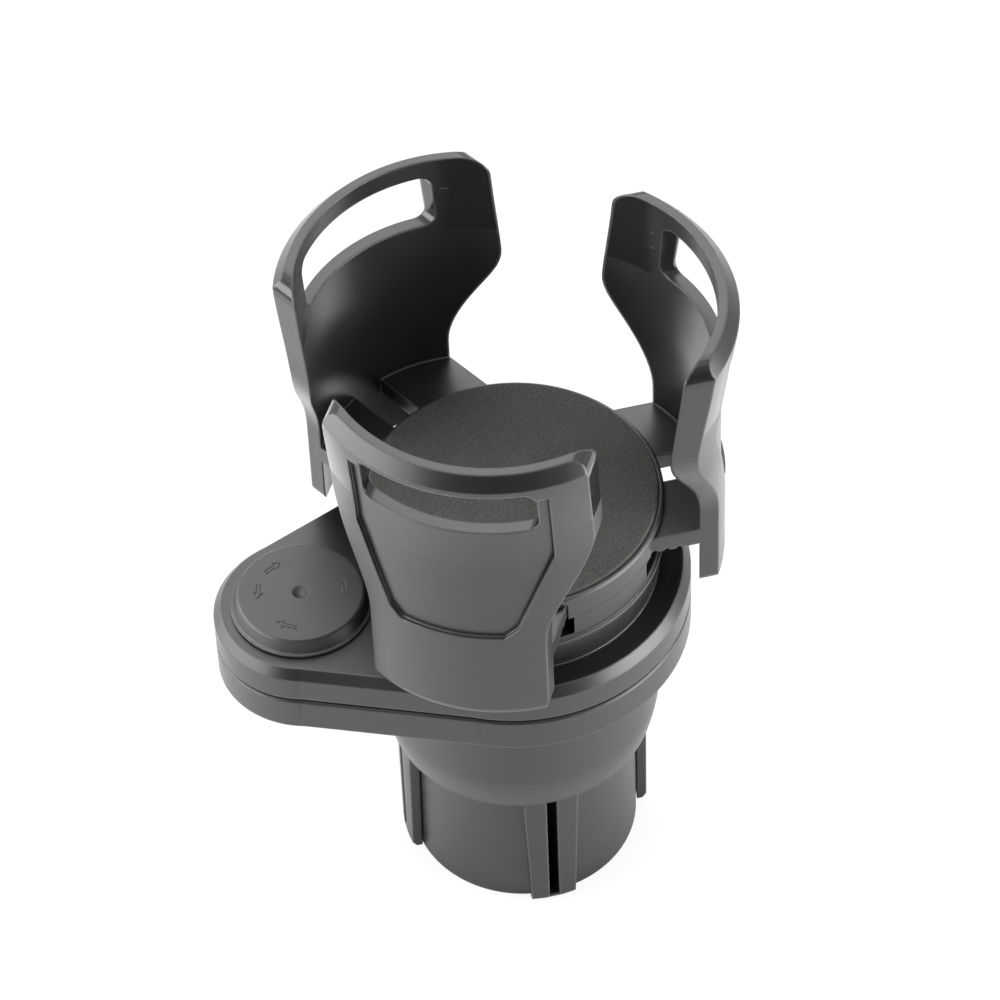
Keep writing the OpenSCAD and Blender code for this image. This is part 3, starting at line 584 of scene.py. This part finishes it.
def addEjectorMarks(values):
    # the round witness marks that the mould's pins leave on the backs of the arms
    for name, turn in armTurns.items():
        spin = Matrix.Rotation(radians(turn), 3, "Z")
        outward = spin @ Vector((1, 0, 0))
        work = bmesh.new()
        for side in (-1, 1):
            start = spin @ Vector((0, side * values["aside"] * mm, values["heightUp"] * mm))
            hit, spot, normal, index = bpy.data.objects[name].ray_cast(start, outward)
            if not hit:
                print("no inner face for", name)
                continue
            up = -normal if normal.dot(outward) > 0 else normal
            across = up.cross(Vector((0, 0, 1))).normalized()
            rise = across.cross(up)
            ring = []
            for i in range(values["segments"] + 1):
                angle = 2 * pi * i / values["segments"]
                out = across * cos(angle) + rise * sin(angle)
                ring.append((spot + out * values["radius"] * mm, up, out))
            raisedStroke(work, ring, values["stroke"] * mm, values["height"] * mm,
                         values["sink"] * mm)
        if len(work.verts):
            piece = meshPiece("pinMarks_" + name, work, armAbs[name])
            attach(piece, name)
        else:
            work.free()


addEjectorMarks(ejectorMarks)
print("marks made")


# studio

# a lamp's values: name, place, size and watts
studio = {"floorSize": 6.0, "paper": "#f4f4f4", "floorGlow": 0.88, "air": 0.35, "shine": 1.0,
          "front": (-0.2, -0.98, 0), "frontSpan": (0.1, 0.75), "frontShare": 0.1,
          "aim": (0, 0, 0.1),
          "lamps": [("topPanel", (-0.35, 0.0, 1.35), (1.0, 1.0), 7),
                    ("backPanel", (0.2, 0.95, 1.15), (1.3, 1.1), 15),
                    ("leftPanel", (-0.7, 0.05, 0.3), (1.1, 0.5), 12),
                    ("rightPanel", (0.62, -0.38, 0.24), (0.6, 0.5), 11)]}


def addLamp(name, place, aim, size, power):
    data = bpy.data.lights.new(name, "AREA")
    data.shape = "RECTANGLE"
    data.size, data.size_y = size
    data.energy = power
    lamp = bpy.data.objects.new(name, data)
    lamp.visible_camera = False
    lamp.location = place
    lamp.rotation_euler = (Vector(place) - Vector(aim)).to_track_quat("Z", "Y").to_euler()
    bpy.context.scene.collection.objects.link(lamp)


def addFloor(values):
    # white paper that keeps the object's shadow
    half = values["floorSize"] / 2
    mesh = bpy.data.meshes.new("floor")
    corners = [(-half, -half, 0), (half, -half, 0), (half, half, 0), (-half, half, 0)]
    mesh.from_pydata(corners, [], [(0, 1, 2, 3)])
    floor = bpy.data.objects.new("floor", mesh)
    bpy.context.scene.collection.objects.link(floor)
    material, tree, output, place = newMaterial("paperFloor")
    paper = addNode(tree, "ShaderNodeBsdfDiffuse", {"Color": linearColour(values["paper"])})
    glow = addNode(tree, "ShaderNodeEmission", {"Color": (1, 1, 1, 1), "Strength": 1.0})
    path = addNode(tree, "ShaderNodeLightPath")
    seen = addNode(tree, "ShaderNodeMath", {
        0: path.outputs["Is Camera Ray"], 1: values["floorGlow"]}, operation="MULTIPLY")
    mix = addNode(tree, "ShaderNodeMixShader", {
        0: seen.outputs[0], 1: paper.outputs[0], 2: glow.outputs[0]})
    tree.links.new(mix.outputs[0], output.inputs["Surface"])
    mesh.materials.append(material)


def addWorld(values):
    world = bpy.data.worlds.new("studioAir")
    bpy.context.scene.world = world
    world.use_nodes = True
    tree = world.node_tree
    tree.nodes.clear()
    output = addNode(tree, "ShaderNodeOutputWorld")
    path = addNode(tree, "ShaderNodeLightPath")
    air = addNode(tree, "ShaderNodeBackground", {"Color": (1, 1, 1, 1)})
    shine = addNode(tree, "ShaderNodeBackground", {"Color": (1, 1, 1, 1)})
    # the room is dark behind the camera, as it is in front of a light tent
    heading = addNode(tree, "ShaderNodeTexCoord").outputs["Generated"]
    frontness = addNode(tree, "ShaderNodeVectorMath", {0: heading, 1: values["front"]},
                        operation="DOT_PRODUCT")
    dimFrom, dimTo = values["frontSpan"]
    for shader, level in ((air, values["air"]), (shine, values["shine"])):
        dim = addNode(tree, "ShaderNodeMapRange", {
            "Value": frontness.outputs["Value"], "From Min": dimFrom, "From Max": dimTo,
            "To Min": level, "To Max": level * values["frontShare"]})
        tree.links.new(dim.outputs["Result"], shader.inputs["Strength"])
    white = addNode(tree, "ShaderNodeBackground", {"Color": (1, 1, 1, 1), "Strength": 1.0})
    unseen = addNode(tree, "ShaderNodeMixShader", {
        0: path.outputs["Is Glossy Ray"], 1: air.outputs[0], 2: shine.outputs[0]})
    mix = addNode(tree, "ShaderNodeMixShader", {
        0: path.outputs["Is Camera Ray"], 1: unseen.outputs[0], 2: white.outputs[0]})
    tree.links.new(mix.outputs[0], output.inputs["Surface"])


addFloor(studio)
addWorld(studio)
for name, place, size, power in studio["lamps"]:
    addLamp(name, place, studio["aim"], size, power)
bpy.context.scene.view_settings.view_transform = "Standard"
print("studio set")
